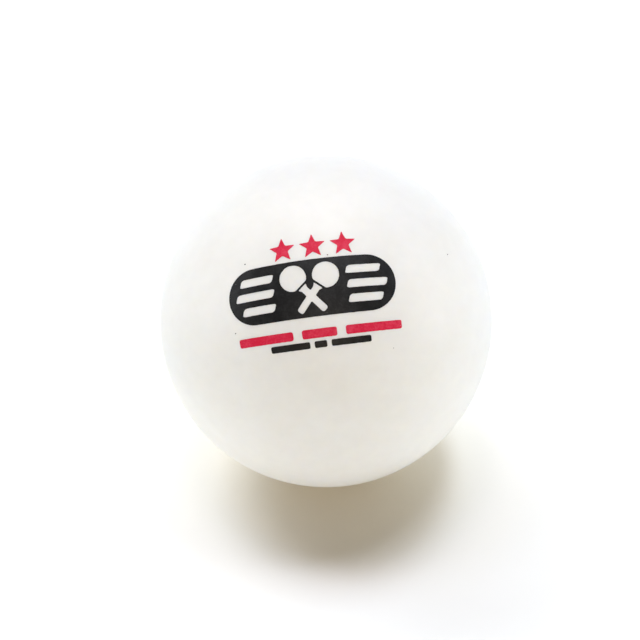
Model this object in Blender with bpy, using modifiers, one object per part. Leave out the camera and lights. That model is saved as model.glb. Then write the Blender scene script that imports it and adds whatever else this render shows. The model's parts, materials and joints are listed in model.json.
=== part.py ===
"""Table tennis ball of the 40+ class: two moulded half shells, cemented at a stepped seam, with a pad-printed mark.

Run it with  blender --background --python part.py  or from Blender's text editor.

The origin is the ball's centre and +Z is up. The ball lies on the plane z = -BALL_RADIUS, with its printed face
turned towards -Y and upwards. Every piece hangs from the empty "ball_axis", whose own +Z runs from the ball's centre
to the pole of the printed half, square to the seam.
"""

import math

import bmesh
import bpy
from mathutils import Vector
from mathutils.geometry import delaunay_2d_cdt

MM = 0.001

# ---- Ball ------------------------------------------------------------------
BALL_RADIUS = 20.10 * MM  # 40.2 mm across, inside the 40.0 to 40.6 mm of the 40+ class
WALL = 0.50 * MM  # even wall, away from the seam

# ---- Stepped seam, square to the pole axis at z = 0 -------------------------
SEAM_GAP = 0.02 * MM  # hairline between the two outer rims
STEP_RADIUS = 19.86 * MM  # where the outer rim ends and the step begins
STEP_HEIGHT = 0.70 * MM  # depth of the rebate in the printed half
STEP_CLEARANCE = 0.02 * MM  # between the tongue and the rebate
CEMENT_GROOVE = 0.17 * MM  # between the tongue's tip and the rebate's shoulder
LAND_RADIUS = 19.42 * MM  # inner radius of the thicker band at the seam
LAND_TOP = 1.30 * MM  # the band's edge in the printed half
LAND_BOTTOM = -0.90 * MM  # the band's edge in the plain half
LAND_BLEND = 0.90 * MM  # height over which the band fades into the wall
CEMENT_CLEARANCE = 0.01 * MM
CEMENT_CROWN = 0.07 * MM  # how far the bead bulges into the ball

# ---- Fineness of the turned pieces ------------------------------------------
SEGMENTS = 64
RINGS = 16  # from the seam to a pole

# ---- How the ball lies -------------------------------------------------------
POLE_ELEVATION = math.radians(48.0)  # of the printed pole, above the horizon
POLE_AZIMUTH = math.radians(-7.0)  # of the printed pole, from -Y towards -X

# ---- Printed mark: millimetres on the surface, measured from the pole --------
INK_FILM = 0.03 * MM
INK_LIFT = 0.010 * MM  # keeps the film clear of the shell's facets
INK_SPACING = 0.90  # spacing of the points that let a film follow the ball
MARK_TILT = math.radians(12.0)
STAR_RADIUS = 1.56
STAR_WAIST = 0.43  # radius of the inner corners, as a share of the points' radius
STAR_PITCH = 3.45
STAR_X, STAR_Y = 0.70, 5.65
BADGE_LENGTH = 19.4
BADGE_HEIGHT = 6.5
BADGE_X, BADGE_Y = 0.0, 0.85
STRIPE_HEIGHT = 0.92  # the three slanted stripes on each side of the bats
STRIPE_PITCH = 1.66
STRIPE_INNER = 4.20  # from the badge's middle to a stripe's near end
STRIPE_OUTER = (7.95, 8.60, 7.95)  # and to its far end, from the top stripe down
STRIPE_SLANT = math.radians(14.0)
BAT_ANGLE = math.radians(50.0)
BAT_CROSSING_Y = BADGE_Y - 0.90
BAT_BLADE_RADIUS = 1.50
BAT_BLADE_CENTRE = 2.85  # from the crossing, along the bat
BAT_RUBBER_EDGE = 1.63
BAT_NECK_TOP = 1.40
BAT_NECK_FOOT = 1.02
BAT_NECK_HALF_WIDTH = 0.60
BAT_HANDLE_HALF_WIDTH = 0.39
BAT_HANDLE_END = 2.25
DASHES_X = 0.40
RED_DASH_Y, RED_DASH_HEIGHT = -4.24, 1.00
RED_DASHES = (("left", -6.2, 6.5), ("centre", 0.0, 3.9), ("right", 6.2, 6.5))
BLACK_DASH_Y, BLACK_DASH_HEIGHT = -5.47, 0.75
BLACK_DASHES = (("left", -3.45, 4.5), ("centre", 0.0, 1.4), ("right", 3.45, 4.5))


# ---- Scene helpers -----------------------------------------------------------
def clear_scene():
    for obj in list(bpy.data.objects):
        bpy.data.objects.remove(obj)
    for mesh in list(bpy.data.meshes):
        bpy.data.meshes.remove(mesh)


def make_material(name, colour, roughness, metallic=0.0):
    material = bpy.data.materials.new(name)
    material.use_nodes = True
    shader = material.node_tree.nodes["Principled BSDF"]
    shader.inputs["Base Color"].default_value = (*colour, 1.0)
    shader.inputs["Roughness"].default_value = roughness
    shader.inputs["Metallic"].default_value = metallic
    material.diffuse_color = (*colour, 1.0)
    return material


def link(obj, collection, parent, material):
    collection.objects.link(obj)
    obj.parent = parent
    obj.data.materials.append(material)
    return obj


def apply_modifiers(obj, sharp=math.radians(35.0)):
    """Replaces the object's mesh with its evaluated one, smooth apart from its corners."""
    bpy.context.view_layer.update()
    graph = bpy.context.evaluated_depsgraph_get()
    mesh = bpy.data.meshes.new_from_object(obj.evaluated_get(graph))
    draft = obj.data
    obj.modifiers.clear()
    obj.data = mesh
    mesh.name = draft.name
    bpy.data.meshes.remove(draft)
    mesh.shade_smooth()
    mesh.set_sharp_from_angle(angle=sharp)
    return obj


# ---- Turned pieces -------------------------------------------------------------
def arc(radius, start, end, count):
    """Points (x, z) on a circle about the ball's centre, by elevation in radians, both ends included."""
    return [
        (
            radius * math.cos(start + (end - start) * i / count),
            radius * math.sin(start + (end - start) * i / count),
        )
        for i in range(count + 1)
    ]


def turned(name, profile, closed, collection, parent, material):
    """A profile of (x, z) points, outer side first and downwards, turned about the pole axis."""
    mesh = bpy.data.meshes.new(name)
    ends = [(i, i + 1) for i in range(len(profile) - 1)]
    if closed:
        ends.append((len(profile) - 1, 0))
    mesh.from_pydata([(x, 0.0, z) for x, z in profile], ends, [])
    obj = link(bpy.data.objects.new(name, mesh), collection, parent, material)
    screw = obj.modifiers.new("turn", "SCREW")
    screw.axis = "Z"
    screw.angle = math.tau
    screw.steps = screw.render_steps = SEGMENTS
    screw.use_merge_vertices = True
    screw.merge_threshold = 0.000002
    return apply_modifiers(obj)


def printed_half_profile():
    """Pole, down the outside to the rim, round the rebate, over the thicker band and back up inside."""
    rim_z = SEAM_GAP / 2
    inner = BALL_RADIUS - WALL
    blend_z = LAND_TOP + LAND_BLEND
    points = arc(BALL_RADIUS, math.pi / 2, math.asin(rim_z / BALL_RADIUS), RINGS)
    points[0] = (0.0, BALL_RADIUS)
    points += [
        (STEP_RADIUS, rim_z),
        (STEP_RADIUS, STEP_HEIGHT),
        (LAND_RADIUS, STEP_HEIGHT),
        (LAND_RADIUS, LAND_TOP),
    ]
    points += arc(inner, math.asin(blend_z / inner), math.pi / 2, RINGS - 1)
    points[-1] = (0.0, inner)
    return points


def plain_half_profile():
    """Inner pole, up the inside to the thicker band, round the tongue to the rim, and down the outside."""
    rim_z = -SEAM_GAP / 2
    inner = BALL_RADIUS - WALL
    blend_z = LAND_BOTTOM - LAND_BLEND
    tongue = STEP_RADIUS - STEP_CLEARANCE
    tip = STEP_HEIGHT - CEMENT_GROOVE
    points = arc(inner, -math.pi / 2, math.asin(blend_z / inner), RINGS - 1)
    points[0] = (0.0, -inner)
    points += [
        (LAND_RADIUS, LAND_BOTTOM),
        (LAND_RADIUS, tip),
        (tongue, tip),
        (tongue, rim_z),
    ]
    points += arc(BALL_RADIUS, math.asin(rim_z / BALL_RADIUS), -math.pi / 2, RINGS)
    points[-1] = (0.0, -BALL_RADIUS)
    return points


def cement_profile():
    """A band that fills the groove and bulges into the ball."""
    top = STEP_HEIGHT - CEMENT_CLEARANCE
    bottom = STEP_HEIGHT - CEMENT_GROOVE + CEMENT_CLEARANCE
    outer = STEP_RADIUS - STEP_CLEARANCE
    rise = (top - bottom) / 2
    middle = (top + bottom) / 2
    crown = [
        (
            LAND_RADIUS - CEMENT_CROWN * math.sin(math.pi * i / 4),
            middle - rise * math.cos(math.pi * i / 4),
        )
        for i in range(5)
    ]
    return [(outer, top), (outer, bottom)] + crown


# ---- Outlines of the mark, counter-clockwise, in millimetres ---------------------
def star(x, y, radius):
    waist = radius * STAR_WAIST
    points = []
    for i in range(10):
        r = radius if i % 2 == 0 else waist
        a = math.pi / 2 + math.pi * i / 5
        points.append((x + r * math.cos(a), y + r * math.sin(a)))
    return points


def rounded_bar(x, y, length, height, radius, count):
    """A bar with rounded corners. A radius of half the height gives a stadium."""
    points = []
    for quarter, (sx, sy) in enumerate(((1, 1), (-1, 1), (-1, -1), (1, -1))):
        cx = x + sx * (length / 2 - radius)
        cy = y + sy * (height / 2 - radius)
        for i in range(count + 1):
            a = math.pi / 2 * (quarter + i / count)
            point = (cx + radius * math.cos(a), cy + radius * math.sin(a))
            if not points or math.dist(point, points[-1]) > 1e-6:
                points.append(point)
    if math.dist(points[0], points[-1]) < 1e-6:
        points.pop()
    return points


def slanted_bar(left, right, y, height, corner=0.16):
    """A bar with leaning ends and clipped corners."""
    lean = height / 2 * math.tan(STRIPE_SLANT)
    top, bottom = y + height / 2, y - height / 2
    return [
        (right + lean - corner, top),
        (left + lean + corner, top),
        (left + lean - corner / 2, top - corner),
        (left - lean - corner / 2, bottom + corner / 2),
        (left - lean + corner, bottom),
        (right - lean - corner, bottom),
        (right - lean + corner / 2, bottom + corner),
        (right + lean + corner / 2, top - corner / 2),
    ]


def along(angle, u, v):
    """A point u along a bat's axis and v to its left, from the crossing of the two bats."""
    return (
        BADGE_X + u * math.cos(angle) - v * math.sin(angle),
        BAT_CROSSING_Y + u * math.sin(angle) + v * math.cos(angle),
    )


def blade(angle, count=20):
    """A round blade, cut straight at the rubber's edge."""
    cut = math.acos((BAT_BLADE_CENTRE - BAT_RUBBER_EDGE) / BAT_BLADE_RADIUS)
    start = -(math.pi - cut)
    points = []
    for i in range(count + 1):
        a = start - 2 * start * i / count
        points.append(
            along(
                angle,
                BAT_BLADE_CENTRE + BAT_BLADE_RADIUS * math.cos(a),
                BAT_BLADE_RADIUS * math.sin(a),
            )
        )
    return points


def crossed_handles():
    """The two handles and necks as one outline, round the notches where they cross."""
    w, corner = BAT_HANDLE_HALF_WIDTH, 0.14
    neck = (
        (BAT_NECK_FOOT, -w),
        (BAT_NECK_TOP, -BAT_NECK_HALF_WIDTH),
        (BAT_NECK_TOP, BAT_NECK_HALF_WIDTH),
        (BAT_NECK_FOOT, w),
    )
    grip = (
        (BAT_HANDLE_END - corner, -w),
        (BAT_HANDLE_END, -w + corner),
        (BAT_HANDLE_END, w - corner),
        (BAT_HANDLE_END - corner, w),
    )
    above, beside = w / math.cos(BAT_ANGLE), w / math.sin(BAT_ANGLE)
    points = []
    for angle, arm, notch in (
        (BAT_ANGLE, neck, (0.0, above)),
        (math.pi - BAT_ANGLE, neck, (-beside, 0.0)),
        (math.pi + BAT_ANGLE, grip, (0.0, -above)),
        (-BAT_ANGLE, grip, (beside, 0.0)),
    ):
        points += [along(angle, u, v) for u, v in arm]
        points.append((BADGE_X + notch[0], BAT_CROSSING_Y + notch[1]))
    return points


# ---- Ink films -----------------------------------------------------------------
def inside(point, loop):
    x, y = point
    odd = False
    for (x0, y0), (x1, y1) in zip(loop, loop[1:] + loop[:1]):
        if (y0 > y) != (y1 > y) and x < x0 + (y - y0) * (x1 - x0) / (y1 - y0):
            odd = not odd
    return odd


def distance_to(point, loop):
    p = Vector(point)
    nearest = math.inf
    for a, b in zip(loop, loop[1:] + loop[:1]):
        a, b = Vector(a), Vector(b)
        t = max(0.0, min(1.0, (p - a).dot(b - a) / (b - a).length_squared))
        nearest = min(nearest, (p - a.lerp(b, t)).length)
    return nearest


def divided(loop, longest):
    """The loop with its long sides divided."""
    points = []
    for a, b in zip(loop, loop[1:] + loop[:1]):
        count = max(1, math.ceil(math.dist(a, b) / longest))
        points += [
            (a[0] + (b[0] - a[0]) * i / count, a[1] + (b[1] - a[1]) * i / count)
            for i in range(count)
        ]
    return points


def wrapped(x, y):
    """A point of the flat mark, in millimetres, laid on the ball: its distance and bearing from the pole stay true."""
    c, s = math.cos(MARK_TILT), math.sin(MARK_TILT)
    x, y = (x * c - y * s) * MM, (x * s + y * c) * MM
    away = math.hypot(x, y)
    radius = BALL_RADIUS + INK_LIFT
    if away < 1e-9:
        return 0.0, 0.0, radius
    angle = away / BALL_RADIUS
    k = radius * math.sin(angle) / away
    return x * k, y * k, radius * math.cos(angle)


def ink_film(name, outline, holes, collection, parent, material):
    """A flat outline with holes, filled with triangles, laid on the ball and given the film's thickness."""
    loops = [divided(loop, INK_SPACING) for loop in [outline] + holes]
    points, edges = [], []
    for loop in loops:
        first = len(points)
        points += [Vector(p) for p in loop]
        edges += [(first + i, first + (i + 1) % len(loop)) for i in range(len(loop))]
    xs, ys = [p[0] for p in loops[0]], [p[1] for p in loops[0]]
    row_step = INK_SPACING * math.sqrt(3) / 2
    row, y = 0, min(ys) + row_step / 2
    while y < max(ys):
        x = min(xs) + INK_SPACING / 2 * (row % 2)
        while x < max(xs):
            if (
                inside((x, y), loops[0])
                and not any(inside((x, y), hole) for hole in loops[1:])
                and min(distance_to((x, y), loop) for loop in loops)
                > 0.4 * INK_SPACING
            ):
                points.append(Vector((x, y)))
            x += INK_SPACING
        row += 1
        y += row_step
    filled = delaunay_2d_cdt(points, edges, [], 0, 1e-6)
    corners, triangles = filled[0], []
    for face in filled[2]:
        middle = sum((corners[i] for i in face), Vector((0.0, 0.0))) / len(face)
        if inside(middle, loops[0]) and not any(inside(middle, h) for h in loops[1:]):
            triangles.append(tuple(face))
    used = sorted({i for face in triangles for i in face})
    index = {old: new for new, old in enumerate(used)}
    mesh = bpy.data.meshes.new(name)
    mesh.from_pydata(
        [wrapped(*corners[i]) for i in used],
        [],
        [tuple(index[i] for i in face) for face in triangles],
    )
    tool = bmesh.new()
    tool.from_mesh(mesh)
    bmesh.ops.recalc_face_normals(tool, faces=tool.faces)
    if sum(face.normal.dot(face.calc_center_median()) for face in tool.faces) < 0:
        bmesh.ops.reverse_faces(tool, faces=tool.faces)
    tool.to_mesh(mesh)
    tool.free()
    obj = link(bpy.data.objects.new(name, mesh), collection, parent, material)
    film = obj.modifiers.new("film", "SOLIDIFY")
    film.thickness = INK_FILM
    film.offset = 1.0
    film.use_even_offset = True
    return apply_modifiers(obj)


# ---- The ball ------------------------------------------------------------------
def main():
    clear_scene()
    collection = bpy.data.collections.new("table_tennis_ball")
    bpy.context.scene.collection.children.link(collection)

    shell_white = make_material("shell_white", (0.90, 0.885, 0.84), 0.50)
    cement_clear = make_material("cement", (0.86, 0.83, 0.74), 0.30)
    ink_red = make_material("ink_red", (0.69, 0.035, 0.085), 0.40)
    ink_black = make_material("ink_black", (0.015, 0.015, 0.016), 0.40)

    axis = bpy.data.objects.new("ball_axis", None)
    axis.empty_display_size = BALL_RADIUS
    axis.rotation_euler = (math.pi / 2 - POLE_ELEVATION, 0.0, POLE_AZIMUTH)
    collection.objects.link(axis)

    turned(
        "half_shell_printed",
        printed_half_profile(),
        False,
        collection,
        axis,
        shell_white,
    )
    turned(
        "half_shell_plain", plain_half_profile(), False, collection, axis, shell_white
    )
    turned("seam_cement_ring", cement_profile(), True, collection, axis, cement_clear)

    def film(name, outline, holes, material):
        ink_film(name, outline, holes, collection, axis, material)

    for place, step in (("left", -1), ("centre", 0), ("right", 1)):
        outline = star(STAR_X + step * STAR_PITCH, STAR_Y, STAR_RADIUS)
        film(f"print_star_{place}", outline, [], ink_red)

    badge = rounded_bar(
        BADGE_X, BADGE_Y, BADGE_LENGTH, BADGE_HEIGHT, BADGE_HEIGHT / 2, 12
    )
    openings = [blade(BAT_ANGLE), blade(math.pi - BAT_ANGLE), crossed_handles()]
    for row, outer in enumerate(STRIPE_OUTER):
        y = BADGE_Y + (1 - row) * STRIPE_PITCH
        for left, right in ((-outer, -STRIPE_INNER), (STRIPE_INNER, outer)):
            openings.append(
                slanted_bar(BADGE_X + left, BADGE_X + right, y, STRIPE_HEIGHT)
            )
    film("print_badge", badge, openings, ink_black)

    for place, x, length in RED_DASHES:
        outline = rounded_bar(
            DASHES_X + x, RED_DASH_Y, length, RED_DASH_HEIGHT, 0.22, 3
        )
        film(f"print_red_dash_{place}", outline, [], ink_red)
    for place, x, length in BLACK_DASHES:
        outline = rounded_bar(
            DASHES_X + x, BLACK_DASH_Y, length, BLACK_DASH_HEIGHT, 0.18, 3
        )
        film(f"print_black_dash_{place}", outline, [], ink_black)


main()
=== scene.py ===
"""The looks of a 40+ table tennis ball: two thin half shells, the cement in their joint and a printed mark.

The ball is centred on the origin and rests on a floor below it. Pieces are shaped in the pole's frame, where z runs
from the seam's plane to the printed pole. That pole points up, to the front (-Y) and slightly left (-X).
Each piece takes the place and size of one faceted CAD node, except the stray flecks of ink, which have none.
"""

import json
import math

import bmesh
import bpy
import numpy as np
from mathutils import Euler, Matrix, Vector, noise
from mathutils.geometry import delaunay_2d_cdt

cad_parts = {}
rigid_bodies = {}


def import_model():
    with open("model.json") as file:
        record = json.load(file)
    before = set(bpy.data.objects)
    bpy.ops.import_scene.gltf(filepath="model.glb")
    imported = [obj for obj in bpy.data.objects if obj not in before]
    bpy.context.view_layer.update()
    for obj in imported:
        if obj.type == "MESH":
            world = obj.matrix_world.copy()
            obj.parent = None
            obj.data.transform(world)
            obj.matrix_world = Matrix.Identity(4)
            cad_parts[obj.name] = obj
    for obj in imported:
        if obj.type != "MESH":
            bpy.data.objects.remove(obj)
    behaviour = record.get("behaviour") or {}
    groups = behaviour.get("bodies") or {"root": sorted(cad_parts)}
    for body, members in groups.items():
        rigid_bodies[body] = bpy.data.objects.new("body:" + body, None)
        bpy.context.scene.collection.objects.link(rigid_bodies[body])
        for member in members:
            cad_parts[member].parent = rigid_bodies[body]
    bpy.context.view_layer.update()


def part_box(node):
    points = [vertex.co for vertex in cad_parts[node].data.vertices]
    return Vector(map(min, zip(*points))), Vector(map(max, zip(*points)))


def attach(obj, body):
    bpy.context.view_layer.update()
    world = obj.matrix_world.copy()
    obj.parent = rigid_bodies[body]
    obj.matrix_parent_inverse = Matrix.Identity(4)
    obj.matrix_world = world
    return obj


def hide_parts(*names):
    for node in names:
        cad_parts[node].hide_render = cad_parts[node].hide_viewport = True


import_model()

MM = 0.001  # sizes are in millimetres unless noted; materials, lights and camera use metres

# ---- Ball and joint: radii from the pole's axis, heights from the seam's plane -------
BALL_RADIUS = 20.10
WALL = 0.50
INNER_RADIUS = BALL_RADIUS - WALL
SEAM_GAP = 0.02
LIP = 0.035  # rounding of the two outer rims, which makes the seam a fine V groove
RIM_ANGLE = math.asin((SEAM_GAP / 2 + LIP) / BALL_RADIUS)  # where the sphere meets the lip
STEP_RADIUS = 19.86
STEP_HEIGHT = 0.70
STEP_CLEARANCE = 0.02
TONGUE_RADIUS = STEP_RADIUS - STEP_CLEARANCE
TONGUE_CHAMFER = 0.03
CEMENT_GROOVE = 0.17
LAND_RADIUS = 19.42  # the thicker band inside the joint
LAND_TOP = 1.30
LAND_BOTTOM = -0.90
LAND_BLEND = 0.90  # height over which the band fades into the wall
LAND_EASE_BEFORE, LAND_EASE_AFTER, LAND_EASE_OUT = 0.15, 0.05, 0.02  # its softened edge
CEMENT_CLEARANCE = 0.01
CEMENT_CROWN = 0.07
CEMENT_SWELL = 0.35  # unevenness of the crown, as a share of its height
CEMENT_WAVES = 9  # radius of the noise circle that the swell follows
CEMENT_FIXED = 0.005  # crown points lower than this stay put
POLE_ELEVATION = math.radians(48.0)
POLE_AZIMUTH = math.radians(-7.0)
POLE_ROTATION = (math.pi / 2 - POLE_ELEVATION, 0.0, POLE_AZIMUTH)
POLE_FRAME = Euler(POLE_ROTATION).to_matrix()

# ---- Printed mark: distances on the surface from the pole ----------------------------
MARK_TILT = math.radians(12.0)
SIDES = (("left", -1), ("centre", 0), ("right", 1))
STAR_RADIUS, STAR_WAIST, STAR_PITCH = 1.56, 0.43, 3.45  # the waist is a share of the radius
STAR_X, STAR_Y = 0.70, 5.65
BADGE_LENGTH, BADGE_HEIGHT = 19.4, 6.5
BADGE_X, BADGE_Y = 0.0, 0.85
STRIPE_HEIGHT, STRIPE_PITCH, STRIPE_INNER = 0.92, 1.66, 4.20
STRIPE_OUTER = (7.95, 8.60, 7.95)  # from the top row down
STRIPE_SLANT = math.radians(14.0)
STRIPE_CORNER = 0.16
BAT_ANGLE = math.radians(50.0)
BAT_CROSSING_Y = BADGE_Y - 0.90
BAT_BLADE_RADIUS, BAT_BLADE_CENTRE, BAT_RUBBER_EDGE = 1.50, 2.85, 1.63
BAT_NECK_TOP, BAT_NECK_FOOT, BAT_NECK_HALF_WIDTH = 1.40, 1.02, 0.60
BAT_HANDLE_HALF_WIDTH, BAT_HANDLE_END, BAT_HANDLE_CORNER = 0.39, 2.25, 0.14
DASHES_X = 0.40
# Ink, y, height, corner radius, pitch, side length, centre length, seed of the centre dash.
DASH_ROWS = (
    ("red", -4.24, 1.00, 0.22, 6.2, 6.5, 3.9, 42.0),
    ("black", -5.47, 0.75, 0.18, 3.45, 4.5, 1.4, 54.0),
)
# Stray flecks of ink beside the mark: x, y, radius.
FLECKS = (
    (-9.4, -2.9, 0.075),
    (2.3, 4.4, 0.06),
    (-7.3, 4.9, 0.07),
    (17.9, 4.6, 0.08),
    (8.6, -6.9, 0.06),
)
STAR_SEED, BADGE_SEED, FLECK_SEED = 11.0, 23.0, 70.0
LOOP_SEED_STEP = 3.7  # from one outline of a film to the next

# ---- Fineness ------------------------------------------------------------------------
SEGMENTS = 256
OUTER_RINGS = 84
INNER_RINGS = 56
LIP_STEPS = 5
CROWN_STEPS = 10
BLADE_STEPS = 48
BADGE_CORNER_STEPS = 40
DASH_CORNER_STEPS = 6
FLECK_POINTS = 14
SHELL_SHARP = math.radians(50.0)  # edges that bend more than this stay crisp
FILM_SHARP = math.radians(40.0)
INK_FILM = 0.010
INK_LIFT = 0.0012
INK_STEP = 0.30  # spacing of a film's inner points
FLECK_STEP = 0.2
EDGE_CLEARANCE = 0.45  # inner points keep this share of a step from the edge
EDGE_STEP = 0.09  # spacing of its edge's points
EDGE_ROUGHNESS = 0.016  # how far the ink's edge wanders
EDGE_WAVES = ((2.6, 1.0, 0.0), (7.5, 0.7, 5.0))  # frequency per mm, weight, seed offset
FIT_ALLOWANCE = 0.12 * MM


# =====================================================================================
# Node helpers
# =====================================================================================
class Nodes:
    """A short way to write a node tree."""

    def __init__(self, tree):
        self.tree = tree
        tree.nodes.clear()

    def add(self, kind, inputs=None, **settings):
        node = self.tree.nodes.new(kind)
        for key, value in settings.items():
            setattr(node, key, value)
        self.fill(node, inputs or {})
        return node

    def fill(self, node, inputs):
        """Links or sets each named or numbered input."""
        for key, value in inputs.items():
            if isinstance(value, bpy.types.NodeSocket):
                self.tree.links.new(value, node.inputs[key])
            else:
                node.inputs[key].default_value = value

    def math(self, operation, first, second=0.0):
        return self.add("ShaderNodeMath", {0: first, 1: second}, operation=operation).outputs[0]

    def weighted(self, *terms):
        """The sum of (value, weight) terms."""
        total = None
        for value, weight in terms:
            part = self.math("MULTIPLY", value, weight)
            total = self.math("ADD", total, part) if total else part
        return total

    def noise(self, vector, scale, detail, rough):
        inputs = {"Vector": vector, "Scale": scale, "Detail": detail, "Roughness": rough}
        return self.add("ShaderNodeTexNoise", inputs).outputs["Fac"]

    def remap(self, value, span, to=(0.0, 1.0), smooth=False):
        return self.add(
            "ShaderNodeMapRange",
            {0: value, 1: span[0], 2: span[1], 3: to[0], 4: to[1]},
            interpolation_type="SMOOTHSTEP" if smooth else "LINEAR",
        ).outputs[0]

    def fade(self, value, span):
        """One below the span, falling smoothly to zero above it."""
        return self.remap(value, span, to=(1.0, 0.0), smooth=True)

    def mix(self, factor, first, second, blend="MIX"):
        """Mixes two colours, each a socket or (red, green, blue)."""
        first, second = (
            colour if isinstance(colour, bpy.types.NodeSocket) else (*colour, 1.0)
            for colour in (first, second)
        )
        inputs = {0: factor, 6: first, 7: second}
        return self.add(
            "ShaderNodeMix", inputs, data_type="RGBA", blend_type=blend
        ).outputs[2]

    def tint(self, colour, mask, strength, towards):
        return self.mix(self.math("MULTIPLY", mask, strength), colour, towards)

    def grey(self, value):
        return self.add("ShaderNodeCombineColor", {0: value, 1: value, 2: value}).outputs[0]

    def specks(self, vector, scale, channel, rarity, size):
        """A mask of round dots in the few cells whose random colour channel is above the rarity span."""
        cells = self.add(
            "ShaderNodeTexVoronoi",
            {"Vector": vector, "Scale": scale, "Randomness": 1.0},
            feature="F1",
        )
        channels = self.add("ShaderNodeSeparateColor", {0: cells.outputs["Color"]}).outputs
        rare = self.remap(channels[channel], rarity)
        dot = self.fade(cells.outputs["Distance"], size)
        return self.math("MULTIPLY", dot, rare)

    def bump(self, height, strength, distance):
        inputs = {"Strength": strength, "Distance": distance, "Height": height}
        return self.add("ShaderNodeBump", inputs).outputs[0]


def new_material(name):
    """The material, its nodes, its shader and the place of a point in the pole's frame."""
    material = bpy.data.materials.new(name)
    material.use_nodes = True
    nodes = Nodes(material.node_tree)
    shader = nodes.add("ShaderNodeBsdfPrincipled")
    nodes.add("ShaderNodeOutputMaterial", {"Surface": shader.outputs[0]})
    turn = nodes.add(
        "ShaderNodeVectorRotate",
        {
            "Vector": nodes.add("ShaderNodeTexCoord").outputs["Object"],
            "Rotation": POLE_ROTATION,
        },
        rotation_type="EULER_XYZ",
        invert=True,
    )
    return material, nodes, shader, turn.outputs[0]


def shaded(colour, factors):
    return tuple(min(1.0, channel * factor) for channel, factor in zip(colour, factors))


# =====================================================================================
# Materials
# =====================================================================================
SHELL_COLOUR = (0.905, 0.885, 0.845)
SHELL_DARKER = (0.982, 0.978, 0.969)  # factors on the shell's colour
SHELL_LIGHTER = (1.013, 1.015, 1.020)
SHELL_SHIFT_Y = 0.7  # the texture's offset in y, as a share of that in x
HAIRLINE_STRETCH = (1.0, 1.0, 26.0)
FLOOR_COLOUR = (0.900, 0.866, 0.785)
FLOOR_LIGHTER = (1.006, 1.006, 1.006)


def shell_colour(nodes, shift, seam_line, seam_band):
    """Faint clouds, a finer mottle, a warm line where the halves meet, and rare flecks."""
    clouds = nodes.noise(shift, scale=95.0, detail=3.0, rough=0.55)
    mottle = nodes.noise(shift, scale=620.0, detail=4.0, rough=0.6)
    colour = nodes.mix(
        nodes.remap(clouds, span=(0.35, 0.65)),
        shaded(SHELL_COLOUR, SHELL_DARKER),
        shaded(SHELL_COLOUR, SHELL_LIGHTER),
    )
    mottle_grey = nodes.grey(nodes.remap(mottle, span=(0.3, 0.7), to=(0.985, 1.012)))
    colour = nodes.mix(1.0, colour, mottle_grey, blend="MULTIPLY")
    colour = nodes.tint(colour, seam_line, strength=0.55, towards=(0.70, 0.665, 0.585))
    colour = nodes.tint(colour, seam_band, strength=0.22, towards=(0.83, 0.80, 0.735))
    flecks = nodes.specks(
        shift, scale=310.0, channel=0, rarity=(0.955, 0.965), size=(0.012, 0.026)
    )
    return nodes.tint(colour, flecks, strength=0.55, towards=(0.42, 0.38, 0.33))


def shell_roughness(nodes, shift, grain, seam_band):
    """Satin, with smoother patches from handling, and polished beside the seam."""
    handled = nodes.noise(shift, scale=150.0, detail=3.0, rough=0.6)
    rough = nodes.math(
        "ADD",
        nodes.remap(handled, span=(0.3, 0.7), to=(0.40, 0.52)),
        nodes.remap(grain, span=(0.2, 0.8), to=(-0.05, 0.05)),
    )
    seam_polish = 0.10
    return nodes.math("SUBTRACT", rough, nodes.math("MULTIPLY", seam_band, seam_polish))


def shell_relief(nodes, shift, grain):
    """Fine sanding grain, tumbling hairlines round the ball, and faint flow waves from the mould."""
    stretch = nodes.add(
        "ShaderNodeMapping", {"Vector": shift, "Scale": HAIRLINE_STRETCH}
    ).outputs[0]
    hairlines = nodes.noise(stretch, scale=420.0, detail=3.0, rough=0.65)
    waves = nodes.noise(shift, scale=260.0, detail=2.0, rough=0.5)
    relief = nodes.weighted((grain, 0.55), (hairlines, 0.35), (waves, 0.9))
    return nodes.bump(relief, strength=0.35, distance=0.0000045)


def shell_material(name, seed):
    """Satin, slightly translucent ABS: cloudy from the moulding, and finely sanded."""
    material, nodes, shader, place = new_material(name)
    shift = nodes.add(
        "ShaderNodeVectorMath",
        {0: place, 1: (seed, seed * SHELL_SHIFT_Y, 0)},
        operation="ADD",
    ).outputs[0]
    height = nodes.add("ShaderNodeSeparateXYZ", {0: place}).outputs[2]
    near_seam = nodes.math("ABSOLUTE", height)
    seam_line = nodes.fade(near_seam, span=(0.00006, 0.00032))
    seam_band = nodes.fade(near_seam, span=(0.0004, 0.0016))
    grain = nodes.noise(shift, scale=8200.0, detail=2.0, rough=0.6)
    nodes.fill(
        shader,
        {
            "Base Color": shell_colour(nodes, shift, seam_line, seam_band),
            "Roughness": shell_roughness(nodes, shift, grain, seam_band),
            "Normal": shell_relief(nodes, shift, grain),
            "IOR": 1.52,
            "Specular IOR Level": 0.42,
            "Subsurface Weight": 0.55,
            "Subsurface Radius": (1.0, 0.86, 0.66),
            "Subsurface Scale": 0.0009,
        },
    )
    return material


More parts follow.
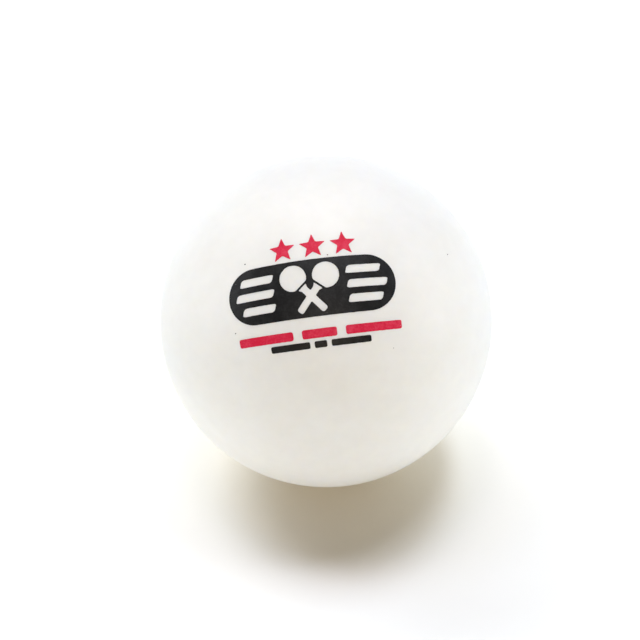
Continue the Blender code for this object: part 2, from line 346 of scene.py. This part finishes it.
def cement_material():
    """Clear yellowish cement with small bubbles."""
    material, nodes, shader, place = new_material("cement_bead")
    cloud = nodes.noise(place, scale=700.0, detail=3.0, rough=0.6)
    cells = nodes.add("ShaderNodeTexVoronoi", {"Vector": place, "Scale": 3800.0})
    distance = cells.outputs["Distance"]
    bubble = nodes.fade(distance, span=(0.10, 0.22))
    colour = nodes.mix(
        nodes.remap(cloud, span=(0.3, 0.7)), (0.80, 0.755, 0.62), (0.90, 0.875, 0.79)
    )
    nodes.fill(
        shader,
        {
            "Base Color": nodes.tint(
                colour, bubble, strength=0.35, towards=(0.95, 0.94, 0.90)
            ),
            "Roughness": nodes.remap(cloud, span=(0.3, 0.7), to=(0.20, 0.36)),
            "Normal": nodes.bump(distance, strength=0.5, distance=0.00001),
            "Subsurface Weight": 0.4,
            "Subsurface Radius": (1.0, 0.85, 0.6),
            "Subsurface Scale": 0.0006,
        },
    )
    return material


def ink_material(name, thin, full, through, roughness, specular):
    """Printing ink: uneven density, plastic showing through fine pinholes, and a slight orange peel."""
    material, nodes, shader, place = new_material(name)
    density = nodes.noise(place, scale=900.0, detail=4.0, rough=0.62)
    fine = nodes.noise(place, scale=5200.0, detail=3.0, rough=0.6)
    body = nodes.weighted((density, 0.65), (fine, 0.35))
    colour = nodes.mix(nodes.remap(body, span=(0.34, 0.60), smooth=True), thin, full)
    pinholes = nodes.specks(
        place, scale=2300.0, channel=1, rarity=(0.93, 0.95), size=(0.07, 0.20)
    )
    rough_range = (roughness - 0.05, roughness + 0.07)
    fine_relief = 0.6  # beside the full height of the density
    relief = nodes.math("ADD", density, nodes.math("MULTIPLY", fine, fine_relief))
    nodes.fill(
        shader,
        {
            "Base Color": nodes.tint(colour, pinholes, strength=0.5, towards=through),
            "Roughness": nodes.remap(fine, span=(0.25, 0.75), to=rough_range),
            "Normal": nodes.bump(relief, strength=0.35, distance=0.000004),
            "Specular IOR Level": specular,
        },
    )
    return material


def floor_material():
    """A plain warm white board, with the faintest tooth."""
    material, nodes, shader, place = new_material("studio_floor")
    tooth = nodes.noise(place, scale=900.0, detail=3.0, rough=0.6)
    broad = nodes.noise(place, scale=9.0, detail=2.0, rough=0.5)
    colour = nodes.mix(
        nodes.remap(broad, span=(0.3, 0.7)),
        FLOOR_COLOUR,
        shaded(FLOOR_COLOUR, FLOOR_LIGHTER),
    )
    nodes.fill(
        shader,
        {
            "Base Color": colour,
            "Roughness": 0.85,
            "Specular IOR Level": 0.15,
            "Normal": nodes.bump(tooth, strength=0.10, distance=0.00004),
        },
    )
    return material


# =====================================================================================
# Mesh helpers
# =====================================================================================
def add_object(name, data):
    obj = bpy.data.objects.new(name, data)
    bpy.context.scene.collection.objects.link(obj)
    return obj


def place_piece(name, node, material, mesh):
    """Turns a mesh out of the pole's frame to where its CAD node is, riding on the root body."""
    mesh.transform(POLE_FRAME.to_4x4())
    obj = add_object(name, mesh)
    mesh.materials.append(material)
    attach(obj, "root")
    if node:
        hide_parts(node)
        require_fit(obj, node)


def require_fit(obj, node):
    """Stops if the piece doesn't fill the same box as the CAD node that it stands for."""
    bpy.context.view_layer.update()
    low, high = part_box(node)
    points = np.array([obj.matrix_world @ vertex.co for vertex in obj.data.vertices])
    off = max(
        np.abs(points.min(0) - np.array(low)).max(),
        np.abs(points.max(0) - np.array(high)).max(),
    )
    if off > FIT_ALLOWANCE:
        raise RuntimeError(f"{obj.name} is {off / MM:.3f} mm off CAD node {node}")


def smoothed(mesh, sharp):
    mesh.shade_smooth()
    mesh.set_sharp_from_angle(angle=sharp)
    return mesh


def evaluated(obj, sharp):
    """The mesh of a draft object with its modifiers applied; the draft is removed."""
    bpy.context.view_layer.update()
    graph = bpy.context.evaluated_depsgraph_get()
    mesh = bpy.data.meshes.new_from_object(obj.evaluated_get(graph))
    draft = obj.data
    bpy.data.objects.remove(obj)
    bpy.data.meshes.remove(draft)
    return smoothed(mesh, sharp)


# =====================================================================================
# Turned pieces
# =====================================================================================
def arc(radius, start, end, count):
    angles = [start + (end - start) * i / count for i in range(count + 1)]
    return [(radius * math.cos(angle), radius * math.sin(angle)) for angle in angles]


def turned_mesh(profile, closed):
    """A profile of (x, z), its outer side running downwards, turned about the pole's axis."""
    mesh = bpy.data.meshes.new("turned")
    edges = [(i, i + 1) for i in range(len(profile) - 1)]
    if closed:
        edges.append((len(profile) - 1, 0))
    mesh.from_pydata([(x * MM, 0.0, z * MM) for x, z in profile], edges, [])
    obj = add_object("turned", mesh)
    screw = obj.modifiers.new("turn", "SCREW")
    screw.axis = "Z"
    screw.angle = math.tau
    screw.steps = screw.render_steps = SEGMENTS
    screw.use_merge_vertices = True
    screw.merge_threshold = 0.0000005
    return evaluated(obj, SHELL_SHARP)


def lip(side):
    """The rounded outer rim, from the sphere inwards: side 1 for the printed half, -1 for the plain one."""
    rim = side * SEAM_GAP / 2
    centre_x = BALL_RADIUS - LIP
    angles = [math.pi / 2 * i / LIP_STEPS for i in range(1, LIP_STEPS + 1)]
    return [
        (centre_x + LIP * math.cos(angle), rim + side * LIP * (1 - math.sin(angle)))
        for angle in angles
    ]


def land_edge(height, side):
    """The land's softened edge, away from the seam: side 1 for its top, -1 for its bottom."""
    return [
        (LAND_RADIUS, height - side * LAND_EASE_BEFORE),
        (LAND_RADIUS + LAND_EASE_OUT, height + side * LAND_EASE_AFTER),
    ]


def printed_half():
    """From the pole down the outside, and back up the inside past the stepped rim."""
    blend = LAND_TOP + LAND_BLEND
    outside = arc(BALL_RADIUS, math.pi / 2, RIM_ANGLE, OUTER_RINGS)
    outside[0] = (0.0, BALL_RADIUS)
    step = [
        (STEP_RADIUS, SEAM_GAP / 2),
        (STEP_RADIUS, STEP_HEIGHT),
        (LAND_RADIUS, STEP_HEIGHT),
    ]
    inside_wall = arc(INNER_RADIUS, math.asin(blend / INNER_RADIUS), math.pi / 2, INNER_RINGS)
    inside_wall[-1] = (0.0, INNER_RADIUS)
    profile = outside + lip(1) + step + land_edge(LAND_TOP, 1) + inside_wall
    return turned_mesh(profile, closed=False)


def plain_half():
    """From the lower pole up the inside, over the tongue, and back down the outside."""
    blend = LAND_BOTTOM - LAND_BLEND
    tip = STEP_HEIGHT - CEMENT_GROOVE
    inside_wall = arc(INNER_RADIUS, -math.pi / 2, math.asin(blend / INNER_RADIUS), INNER_RINGS)
    inside_wall[0] = (0.0, -INNER_RADIUS)
    tongue = [
        (LAND_RADIUS, tip - TONGUE_CHAMFER),
        (LAND_RADIUS + TONGUE_CHAMFER, tip),
        (TONGUE_RADIUS - TONGUE_CHAMFER, tip),
        (TONGUE_RADIUS, tip - TONGUE_CHAMFER),
        (TONGUE_RADIUS, -SEAM_GAP / 2),
    ]
    outside = arc(BALL_RADIUS, -RIM_ANGLE, -math.pi / 2, OUTER_RINGS)
    outside[-1] = (0.0, -BALL_RADIUS)
    edge = land_edge(LAND_BOTTOM, -1)[::-1]
    profile = inside_wall + edge + tongue + lip(-1)[::-1] + outside
    return turned_mesh(profile, closed=False)


def cement_ring():
    """A bead that fills the groove and bulges into the ball, a little uneven round its run."""
    top = STEP_HEIGHT - CEMENT_CLEARANCE
    bottom = STEP_HEIGHT - CEMENT_GROOVE + CEMENT_CLEARANCE
    rise, middle = (top - bottom) / 2, (top + bottom) / 2
    angles = [math.pi * i / CROWN_STEPS for i in range(CROWN_STEPS + 1)]
    crown = [
        (LAND_RADIUS - CEMENT_CROWN * math.sin(angle), middle - rise * math.cos(angle))
        for angle in angles
    ]
    mesh = turned_mesh([(TONGUE_RADIUS, top), (TONGUE_RADIUS, bottom)] + crown, closed=True)
    for vertex in mesh.vertices:
        reach = math.hypot(vertex.co.x, vertex.co.y) / MM
        if reach < LAND_RADIUS - CEMENT_FIXED:
            around = math.atan2(vertex.co.y, vertex.co.x)
            noise_x = CEMENT_WAVES * math.cos(around)
            noise_y = CEMENT_WAVES * math.sin(around)
            swell = noise.noise(Vector((noise_x, noise_y, 0.3)))
            stretch = 1 + (LAND_RADIUS - reach) * CEMENT_SWELL * swell / LAND_RADIUS
            vertex.co.x *= stretch
            vertex.co.y *= stretch
    return mesh


# =====================================================================================
# Outlines of the mark
# =====================================================================================
def star(x, y, radius):
    """Five points, the first one up."""
    points = []
    for i in range(10):
        reach = radius if i % 2 == 0 else radius * STAR_WAIST
        angle = math.pi / 2 + math.pi * i / 5
        points.append((x + reach * math.cos(angle), y + reach * math.sin(angle)))
    return points


def rounded_bar(x, y, length, height, radius, count):
    """Four quarter circles; where two of them touch, their shared point is kept once."""
    points = []
    for quarter, (side_x, side_y) in enumerate(((1, 1), (-1, 1), (-1, -1), (1, -1))):
        centre_x = x + side_x * (length / 2 - radius)
        centre_y = y + side_y * (height / 2 - radius)
        for i in range(count + 1):
            angle = math.pi / 2 * (quarter + i / count)
            point = (centre_x + radius * math.cos(angle), centre_y + radius * math.sin(angle))
            if not points or math.dist(point, points[-1]) > 1e-6:
                points.append(point)
    if math.dist(points[0], points[-1]) < 1e-6:
        points.pop()
    return points


def slanted_bar(left, right, y, height):
    """A stripe that leans to the right, its corners cut."""
    corner = STRIPE_CORNER
    lean = height / 2 * math.tan(STRIPE_SLANT)
    top, bottom = y + height / 2, y - height / 2
    return [
        (right + lean - corner, top),
        (left + lean + corner, top),
        (left + lean - corner / 2, top - corner),
        (left - lean - corner / 2, bottom + corner / 2),
        (left - lean + corner, bottom),
        (right - lean - corner, bottom),
        (right - lean + corner / 2, bottom + corner),
        (right + lean + corner / 2, top - corner / 2),
    ]


def along(angle, reach, aside):
    """A point of a bat: reach along its axis from the crossing, aside to the axis's left."""
    return (
        BADGE_X + reach * math.cos(angle) - aside * math.sin(angle),
        BAT_CROSSING_Y + reach * math.sin(angle) + aside * math.cos(angle),
    )


def blade(angle):
    """A round blade, cut straight across at the edge of its rubber."""
    cut = math.acos((BAT_BLADE_CENTRE - BAT_RUBBER_EDGE) / BAT_BLADE_RADIUS)
    start = -(math.pi - cut)
    turns = [start - 2 * start * i / BLADE_STEPS for i in range(BLADE_STEPS + 1)]
    return [
        along(
            angle,
            BAT_BLADE_CENTRE + BAT_BLADE_RADIUS * math.cos(turn),
            BAT_BLADE_RADIUS * math.sin(turn),
        )
        for turn in turns
    ]


def crossed_handles():
    """One X-shaped outline: two necks above the crossing, two grips below it."""
    half, corner = BAT_HANDLE_HALF_WIDTH, BAT_HANDLE_CORNER
    neck = (
        (BAT_NECK_FOOT, -half),
        (BAT_NECK_TOP, -BAT_NECK_HALF_WIDTH),
        (BAT_NECK_TOP, BAT_NECK_HALF_WIDTH),
        (BAT_NECK_FOOT, half),
    )
    grip = (
        (BAT_HANDLE_END - corner, -half),
        (BAT_HANDLE_END, -half + corner),
        (BAT_HANDLE_END, half - corner),
        (BAT_HANDLE_END - corner, half),
    )
    above, beside = half / math.cos(BAT_ANGLE), half / math.sin(BAT_ANGLE)
    points = []
    # Each arm is followed by the notch between it and the next.
    for angle, arm, notch in (
        (BAT_ANGLE, neck, (0.0, above)),
        (math.pi - BAT_ANGLE, neck, (-beside, 0.0)),
        (math.pi + BAT_ANGLE, grip, (0.0, -above)),
        (-BAT_ANGLE, grip, (beside, 0.0)),
    ):
        points += [along(angle, reach, aside) for reach, aside in arm]
        points.append((BADGE_X + notch[0], BAT_CROSSING_Y + notch[1]))
    return points


def badge_openings():
    """The crossed bats and, on each side of them, three stripes."""
    openings = [blade(BAT_ANGLE), blade(math.pi - BAT_ANGLE), crossed_handles()]
    for row, outer in enumerate(STRIPE_OUTER):
        y = BADGE_Y + (1 - row) * STRIPE_PITCH
        for left, right in ((-outer, -STRIPE_INNER), (STRIPE_INNER, outer)):
            openings.append(slanted_bar(BADGE_X + left, BADGE_X + right, y, STRIPE_HEIGHT))
    return openings


def fleck(x, y, radius, number):
    """A small irregular round."""
    angles = [math.tau * i / FLECK_POINTS for i in range(FLECK_POINTS)]
    return [
        (
            x + radius * (1 + 0.25 * math.sin(2.0 * angle + number)) * math.cos(angle),
            y + radius * (1 - 0.20 * math.cos(3.0 * angle + number)) * math.sin(angle),
        )
        for angle in angles
    ]


# =====================================================================================
# Ink films
# =====================================================================================
def inked_edge(loop, seed):
    """The outline as ink leaves it: corners slightly softened, and an edge that wanders."""
    points = []
    for start, end in zip(loop, loop[1:] + loop[:1]):
        count = max(1, round(math.dist(start, end) / EDGE_STEP))
        points += [
            (
                start[0] + (end[0] - start[0]) * i / count,
                start[1] + (end[1] - start[1]) * i / count,
            )
            for i in range(count)
        ]
    edge = np.array(points)
    for _ in range(2):
        edge = 0.5 * edge + 0.25 * (np.roll(edge, 1, 0) + np.roll(edge, -1, 0))
    tangent = np.roll(edge, -1, 0) - np.roll(edge, 1, 0)
    tangent /= np.linalg.norm(tangent, axis=1)[:, None]
    normal = np.c_[tangent[:, 1], -tangent[:, 0]]
    wander = np.array(
        [
            sum(
                weight * noise.noise(Vector((x * frequency, y * frequency, seed + offset)))
                for frequency, weight, offset in EDGE_WAVES
            )
            for x, y in edge
        ]
    )
    return edge + normal * (wander * EDGE_ROUGHNESS)[:, None]


def inside(points, loop):
    """Which of the points lie inside the closed loop."""
    start, end = loop, np.roll(loop, -1, 0)
    x, y = points[:, 0:1], points[:, 1:2]
    spans = (start[:, 1] > y) != (end[:, 1] > y)
    rise = end[:, 1] - start[:, 1]
    rise = np.where(np.abs(rise) < 1e-12, 1e-12, rise)
    crossing = start[:, 0] + (y - start[:, 1]) * (end[:, 0] - start[:, 0]) / rise
    return (spans & (x < crossing)).sum(1) % 2 == 1


def inked(points, loops):
    """Which of the points lie inside the first loop and outside the others."""
    keep = inside(points, loops[0])
    for hole in loops[1:]:
        keep &= ~inside(points, hole)
    return keep


def clearance(points, loop):
    """Distance of each point from the loop's nearest corner; its corners are close together."""
    across = points[:, 0:1] - loop[None, :, 0]
    up = points[:, 1:2] - loop[None, :, 1]
    return np.min(np.hypot(across, up), axis=1)


def inner_points(loops, step):
    """A triangular grid that covers the inked area, short of its edges."""
    low, high = loops[0].min(0), loops[0].max(0)
    rows = np.arange(low[1] + step / 3, high[1], step * math.sqrt(3) / 2)
    grid = np.array(
        [
            (x, y)
            for row, y in enumerate(rows)
            for x in np.arange(low[0] + step / 2 * (row % 2), high[0], step)
        ]
    ).reshape(-1, 2)
    grid = grid[inked(grid, loops)]
    for loop in loops:
        grid = grid[clearance(grid, loop) > EDGE_CLEARANCE * step]
    return grid


def wrapped(x, y):
    """A point of the flat mark laid on the ball, in metres in the pole's frame."""
    cosine, sine = math.cos(MARK_TILT), math.sin(MARK_TILT)
    x, y = x * cosine - y * sine, x * sine + y * cosine
    away = math.hypot(x, y)
    radius = BALL_RADIUS + INK_LIFT
    if away < 1e-9:
        return 0.0, 0.0, radius * MM
    angle = away / BALL_RADIUS
    scale = radius * math.sin(angle) / away * MM
    return x * scale, y * scale, radius * math.cos(angle) * MM


def wrapped_sheet(loops, step):
    """The inked area filled with triangles and laid on the ball."""
    points, edges = [], []
    for loop in loops:
        first = len(points)
        points += [Vector(point) for point in loop]
        edges += [(first + i, first + (i + 1) % len(loop)) for i in range(len(loop))]
    points += [Vector(point) for point in inner_points(loops, step)]
    filled = delaunay_2d_cdt(points, edges, [], 0, 1e-7)
    corners = np.array([tuple(corner) for corner in filled[0]])
    faces = np.array([tuple(face) for face in filled[2]])
    faces = faces[inked(corners[faces].mean(1), loops)]
    used = np.unique(faces)
    index = {int(old): new for new, old in enumerate(used)}
    mesh = bpy.data.meshes.new("film")
    mesh.from_pydata(
        [wrapped(*corners[i]) for i in used],
        [],
        [tuple(index[int(i)] for i in face) for face in faces],
    )
    return mesh


def face_outwards(mesh):
    tool = bmesh.new()
    tool.from_mesh(mesh)
    bmesh.ops.recalc_face_normals(tool, faces=tool.faces)
    if sum(face.normal.dot(face.calc_center_median()) for face in tool.faces) < 0:
        bmesh.ops.reverse_faces(tool, faces=tool.faces)
    tool.to_mesh(mesh)
    tool.free()


def film_mesh(outline, seed, holes=(), step=INK_STEP):
    """A film of ink with the given outline and holes."""
    loops = [
        inked_edge(loop, seed + LOOP_SEED_STEP * i) for i, loop in enumerate([outline, *holes])
    ]
    mesh = wrapped_sheet(loops, step)
    face_outwards(mesh)
    obj = add_object("film", mesh)
    film = obj.modifiers.new("film", "SOLIDIFY")
    film.thickness = INK_FILM * MM
    film.offset = 1.0
    film.use_even_offset = True
    return evaluated(obj, FILM_SHARP)


def joined(meshes):
    """Several small closed meshes as one."""
    tool = bmesh.new()
    for part in meshes:
        tool.from_mesh(part)
    mesh = bpy.data.meshes.new("joined")
    tool.to_mesh(mesh)
    tool.free()
    for part in meshes:
        bpy.data.meshes.remove(part)
    return smoothed(mesh, FILM_SHARP)


# =====================================================================================
# Build the ball
# =====================================================================================
shell_a = shell_material("shell_abs_printed", seed=0.0)
shell_b = shell_material("shell_abs_plain", seed=0.31)
cement = cement_material()
inks = {
    "red": ink_material(
        "ink_red",
        thin=(0.722, 0.050, 0.100),
        full=(0.655, 0.0175, 0.056),
        through=(0.80, 0.32, 0.34),
        roughness=0.42,
        specular=0.10,
    ),
    "black": ink_material(
        "ink_black",
        thin=(0.019, 0.019, 0.020),
        full=(0.008, 0.008, 0.0085),
        through=(0.16, 0.155, 0.15),
        roughness=0.40,
        specular=0.23,
    ),
}


def place_print(part, ink, mesh):
    place_piece(f"ink_{part}", f"print_{part}", inks[ink], mesh)


place_piece(
    "shell_half_printed", "half_shell_printed", shell_a, printed_half()
)
place_piece("shell_half_plain", "half_shell_plain", shell_b, plain_half())
place_piece("cement_bead", "seam_cement_ring", cement, cement_ring())

for place, side in SIDES:
    outline = star(STAR_X + side * STAR_PITCH, STAR_Y, STAR_RADIUS)
    place_print(f"star_{place}", "red", film_mesh(outline, STAR_SEED + side))

badge = rounded_bar(
    BADGE_X, BADGE_Y, BADGE_LENGTH, BADGE_HEIGHT, BADGE_HEIGHT / 2, BADGE_CORNER_STEPS
)
place_print("badge", "black", film_mesh(badge, BADGE_SEED, holes=badge_openings()))

for ink, y, height, corner, pitch, side_length, centre_length, seed in DASH_ROWS:
    for place, side in SIDES:
        length = side_length if side else centre_length
        x = DASHES_X + side * pitch
        outline = rounded_bar(x, y, length, height, corner, DASH_CORNER_STEPS)
        place_print(f"{ink}_dash_{place}", ink, film_mesh(outline, seed + side))

flecks = [
    film_mesh(fleck(x, y, radius, number), FLECK_SEED + number, step=FLECK_STEP)
    for number, (x, y, radius) in enumerate(FLECKS)
]
place_piece("ink_flecks", None, inks["black"], joined(flecks))

# =====================================================================================
# Floor, light and camera
# =====================================================================================
FLOOR_HALF_SIDE = 12.0
LAMP_DISTANCE = 0.5
CAMERA_ELEVATION = math.radians(40.0)
CAMERA_DISTANCE = 0.200
CAMERA_LENS = 92.45
CAMERA_SENSOR = 36.0
CAMERA_SHIFT = (-0.0095, 0.0020)
CAMERA_CLIP = (0.005, 50.0)
WORLD_COLOUR, WORLD_STRENGTH = (1.0, 0.985, 0.955, 1.0), 0.012
BACKDROP_COLOUR, BACKDROP_STRENGTH = (1.0, 1.0, 1.0, 1.0), 1.0

# Suns with a wide disc, like large, distant screens. Each lights only the floor or only the ball, as its name
# begins, which keeps the floor white and the whole ball readable.
# Name, azimuth from -Y towards +X, elevation, apparent width (degrees), strength in red, green and blue.
SCREENS = (
    ("floor_overhead", 180, 84, 14, (0.17, 0.17, 0.24)),
    ("floor_overhead_left", -135, 80, 14, (0.49, 0.49, 0.55)),
    ("floor_left_high", -105, 62, 14, (0.19, 0.17, 0.18)),
    ("floor_right_high", 120, 74, 14, (0.65, 0.70, 0.81)),
    ("floor_back_left_high", -120, 68, 14, (0.19, 0.25, 0.36)),
    ("floor_back_left", -135, 45, 30, (0.91, 1.02, 1.15)),
    ("floor_back_left_low", -135, 35, 40, (0.41, 0.45, 0.50)),
    ("floor_back_right", 150, 68, 14, (0.61, 0.72, 0.88)),
    ("floor_back_low_left", -165, 20, 40, (1.03, 1.12, 1.24)),
    ("floor_back_low_right", 165, 20, 40, (0.64, 0.70, 0.68)),
    ("floor_front_low", 0, 15, 40, (1.84, 1.61, 1.28)),
    ("ball_overhead", 180, 86, 40, (1.08, 1.09, 1.18)),
    ("ball_back_high", 180, 60, 40, (1.17, 1.17, 1.18)),
    ("ball_right_high", 95, 28, 34, (0.58, 0.62, 0.71)),
    ("ball_back_left", -140, 35, 40, (0.58, 0.57, 0.54)),
    ("ball_left_high", -95, 28, 34, (0.38, 0.41, 0.44)),
    ("ball_left_low", -85, 8, 34, (0.56, 0.58, 0.58)),
    ("ball_right_low", 85, 8, 34, (0.77, 0.79, 0.74)),
    ("ball_front_high", 0, 45, 36, (0.52, 0.48, 0.45)),
    ("ball_front_low", 0, 8, 40, (0.55, 0.40, 0.14)),
)


def add_floor():
    z = -BALL_RADIUS * MM
    mesh = bpy.data.meshes.new("floor")
    signs = ((-1, -1), (1, -1), (1, 1), (-1, 1))
    corners = [(x * FLOOR_HALF_SIDE, y * FLOOR_HALF_SIDE, z) for x, y in signs]
    mesh.from_pydata(corners, [], [(0, 1, 2, 3)])
    floor = add_object("studio_floor", mesh)
    mesh.materials.append(floor_material())
    return floor


def add_screen(name, azimuth, elevation, width, strength, receivers):
    data = bpy.data.lights.new(name, "SUN")
    data.angle = math.radians(width)
    data.energy = max(strength)
    data.color = [channel / max(strength) for channel in strength]
    lamp = add_object(name, data)
    azimuth, elevation = math.radians(azimuth), math.radians(elevation)
    towards = Vector(
        (
            math.sin(azimuth) * math.cos(elevation),
            -math.cos(azimuth) * math.cos(elevation),
            math.sin(elevation),
        )
    )
    lamp.location = LAMP_DISTANCE * towards
    lamp.rotation_euler = (-towards).to_track_quat("-Z", "Y").to_euler()
    lamp.light_linking.receiver_collection = receivers


def add_world():
    """A faint ambient light, with a white backdrop that only the camera sees."""
    world = bpy.data.worlds.new("studio")
    world.use_nodes = True
    nodes = Nodes(world.node_tree)
    ambient, seen = (
        nodes.add("ShaderNodeBackground", {"Color": colour, "Strength": strength}).outputs[0]
        for colour, strength in (
            (WORLD_COLOUR, WORLD_STRENGTH),
            (BACKDROP_COLOUR, BACKDROP_STRENGTH),
        )
    )
    to_camera = nodes.add("ShaderNodeLightPath").outputs["Is Camera Ray"]
    both = nodes.add("ShaderNodeMixShader", {0: to_camera, 1: ambient, 2: seen})
    nodes.add("ShaderNodeOutputWorld", {"Surface": both.outputs[0]})
    bpy.context.scene.world = world


def add_camera():
    """In front of the ball (-Y) and above it, looking at its centre."""
    data = bpy.data.cameras.new("camera")
    data.lens = CAMERA_LENS
    data.sensor_width = CAMERA_SENSOR
    data.shift_x, data.shift_y = CAMERA_SHIFT
    data.clip_start, data.clip_end = CAMERA_CLIP
    camera = add_object("camera", data)
    camera.location = CAMERA_DISTANCE * Vector(
        (0.0, -math.cos(CAMERA_ELEVATION), math.sin(CAMERA_ELEVATION))
    )
    camera.rotation_euler = (math.pi / 2 - CAMERA_ELEVATION, 0.0, 0.0)
    bpy.context.scene.camera = camera


floor = add_floor()
lit = {target: bpy.data.collections.new(f"lit_{target}") for target in ("floor", "ball")}
for obj in bpy.context.scene.objects:
    if obj.type == "MESH":
        lit["floor" if obj == floor else "ball"].objects.link(obj)
for screen in SCREENS:
    add_screen(*screen, receivers=lit[screen[0].split("_")[0]])
add_world()

view = bpy.context.scene.view_settings
view.view_transform = "Standard"
view.look = "None"
view.exposure = 0.0
view.gamma = 1.0
add_camera()
